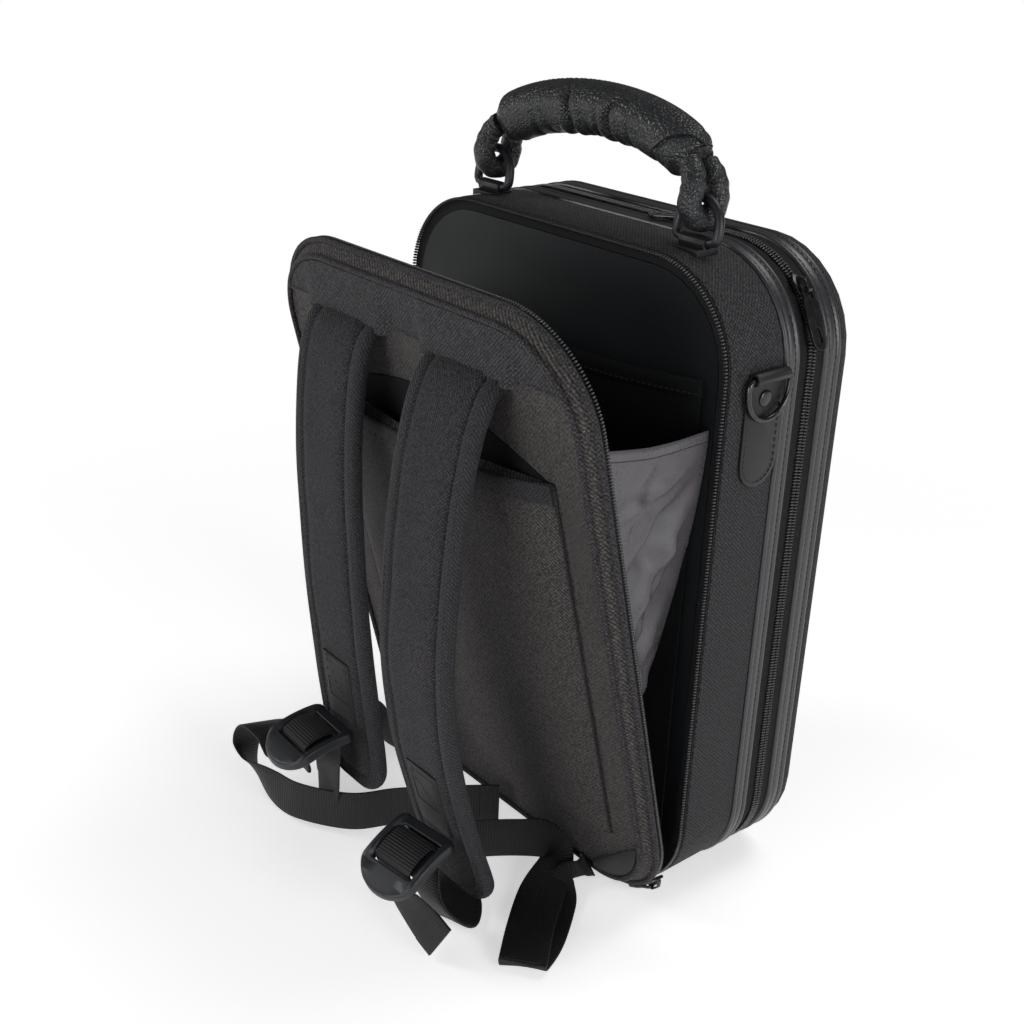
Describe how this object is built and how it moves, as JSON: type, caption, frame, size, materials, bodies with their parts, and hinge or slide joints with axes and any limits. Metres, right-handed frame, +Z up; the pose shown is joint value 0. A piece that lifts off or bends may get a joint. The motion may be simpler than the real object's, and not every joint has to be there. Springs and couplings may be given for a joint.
{
  "type": "clarinet case",
  "caption": "Soft backpack-style clarinet case with a zipped side-hinged lid, fitted foam, a fold-down front pocket, a rolled handle, sling rings and padded shoulder straps.",
  "frame": {"origin": "middle of the flat base of the main half, on the floor the case stands on", "axes": "+Z up from the base, +X to the viewer's right when facing the front pocket, -Y towards the front pocket and the straps, +Y towards the lid; millimetre-true metres"},
  "size_m": [0.2542, 0.2356, 0.4119],
  "materials": {
    "oxford_cloth": "matt woven nylon cloth over a stiff foam wall",
    "grained_vinyl": "grained binding with a low sheen",
    "zip_tape": "matt woven tape",
    "coil_plastic": "satin nylon coil",
    "black_metal": "black plated, satin",
    "gloss_plastic": "moulded, glossy",
    "pebbled_leather": "pebbled, low sheen",
    "plush_lining": "short soft pile over foam",
    "smooth_lining": "smooth coated lining",
    "taffeta": "thin shiny plain weave",
    "webbing": "fine ribbed weave"
  },
  "bodies": {
    "case": {"body_shell": "oxford_cloth", "foam_insert_left": "plush_lining", "foam_insert_middle": "plush_lining", "foam_insert_bell": "plush_lining", "foam_insert_small": "plush_lining", "body_band": "grained_vinyl", "body_zip_tape": "zip_tape", "body_zip_coil": "coil_plastic", "hinge_gore": "oxford_cloth", "pocket_tape_body": "zip_tape", "pocket_coil_body": "coil_plastic", "pocket_lining": "smooth_lining", "document_pocket": "oxford_cloth", "flap_hinge": "oxford_cloth", "handle_tab_left": "grained_vinyl", "handle_tab_right": "grained_vinyl", "side_tab_left": "grained_vinyl", "side_tab_right": "grained_vinyl", "side_rivet_left": "black_metal", "side_rivet_right": "black_metal"},
    "lid": {"lid_shell": "oxford_cloth", "lid_band": "grained_vinyl", "lid_zip_tape": "zip_tape", "lid_zip_coil": "coil_plastic", "lid_pad": "plush_lining"},
    "flap": {"flap_panel": "oxford_cloth", "pocket_tape_flap": "zip_tape", "pocket_coil_flap": "coil_plastic", "piping_rear": "grained_vinyl", "piping_front": "grained_vinyl", "yoke_panel": "oxford_cloth", "stow_pocket": "oxford_cloth", "corner_tab_left": "webbing", "corner_tab_right": "webbing", "gusset_left": "taffeta", "gusset_right": "taffeta"},
    "handle": {"handle_ring_left": "gloss_plastic", "handle_ring_right": "gloss_plastic", "handle_loop_left": "pebbled_leather", "handle_loop_right": "pebbled_leather", "handle_grip": "pebbled_leather"},
    "side_ring_left": {"side_ring_left": "black_metal"},
    "side_ring_right": {"side_ring_right": "black_metal"},
    "slider_corner": {"slider_corner": "black_metal"},
    "pull_corner": {"pull_corner": "black_metal"},
    "slider_top": {"slider_top": "black_metal"},
    "pull_top": {"pull_top": "black_metal"},
    "slider_pocket": {"slider_pocket": "black_metal"},
    "pull_pocket": {"pull_pocket": "black_metal"},
    "strap_left": {"shoulder_strap_left": "oxford_cloth", "strap_tab_left": "webbing", "ladder_lock_left": "gloss_plastic", "webbing_left": "webbing"},
    "strap_right": {"shoulder_strap_right": "oxford_cloth", "strap_tab_right": "webbing", "ladder_lock_right": "gloss_plastic", "webbing_right": "webbing"}
  },
  "joints": [
    {"name": "lid_hinge", "type": "hinge", "parent": "case", "child": "lid", "pos_m": [-0.124, 0.0295, 0.174], "axis": [0, 0, 1], "range_deg": [0, 175]},
    {"name": "flap_hinge_joint", "type": "hinge", "parent": "case", "child": "flap", "pos_m": [0, -0.03025, 0.0044], "axis": [-1, 0, 0], "range_deg": [0, 14], "deforming": ["gusset_left", "gusset_right"]},
    {"name": "handle_swing", "type": "hinge", "parent": "case", "child": "handle", "pos_m": [0, -0.009, 0.3512], "axis": [1, 0, 0], "range_deg": [-38, 56]},
    {"name": "side_ring_left_swing", "type": "hinge", "parent": "case", "child": "side_ring_left", "pos_m": [-0.1234, -0.0033, 0.2978], "axis": [0, -1, 0], "range_deg": [-150, 0]},
    {"name": "side_ring_right_swing", "type": "hinge", "parent": "case", "child": "side_ring_right", "pos_m": [0.1234, -0.0033, 0.2978], "axis": [0, -1, 0], "range_deg": [0, 150]},
    {"name": "slider_corner_run", "type": "hinge", "parent": "case", "child": "slider_corner", "pos_m": [0.068, 0.0295, 0.296], "axis": [0, 1, 0], "range_deg": [-45, 20]},
    {"name": "pull_corner_flip", "type": "hinge", "parent": "slider_corner", "child": "pull_corner", "pos_m": [0.112, 0.0295, 0.33172], "axis": [0, -1, 0], "range_deg": [0, 110]},
    {"name": "slider_top_run", "type": "slide", "parent": "case", "child": "slider_top", "axis": [1, 0, 0], "range_m": [-0.11, 0.004]},
    {"name": "pull_top_flip", "type": "hinge", "parent": "slider_top", "child": "pull_top", "pos_m": [0.0451, 0.0295, 0.3526], "axis": [-0.4226, 0.9063, 0], "range_deg": [0, 110]},
    {"name": "slider_pocket_run", "type": "hinge", "parent": "case", "child": "slider_pocket", "pos_m": [0.068, -0.03055, 0.052], "axis": [0, -1, 0], "range_deg": [0, 41]},
    {"name": "pull_pocket_flip", "type": "hinge", "parent": "slider_pocket", "child": "pull_pocket", "pos_m": [0.10468, -0.03055, 0.00985], "axis": [0, -1, 0], "range_deg": [0, 110]},
    {"name": "strap_left_lift", "type": "hinge", "parent": "flap", "child": "strap_left", "pos_m": [-0.05, -0.11812, 0.30502], "axis": [-1, 0, 0], "range_deg": [0, 35], "deforming": ["webbing_left"]},
    {"name": "strap_right_lift", "type": "hinge", "parent": "flap", "child": "strap_right", "pos_m": [0.0445, -0.11823, 0.30497], "axis": [-1, 0, 0], "range_deg": [0, 35], "deforming": ["webbing_right"]}
  ]
}
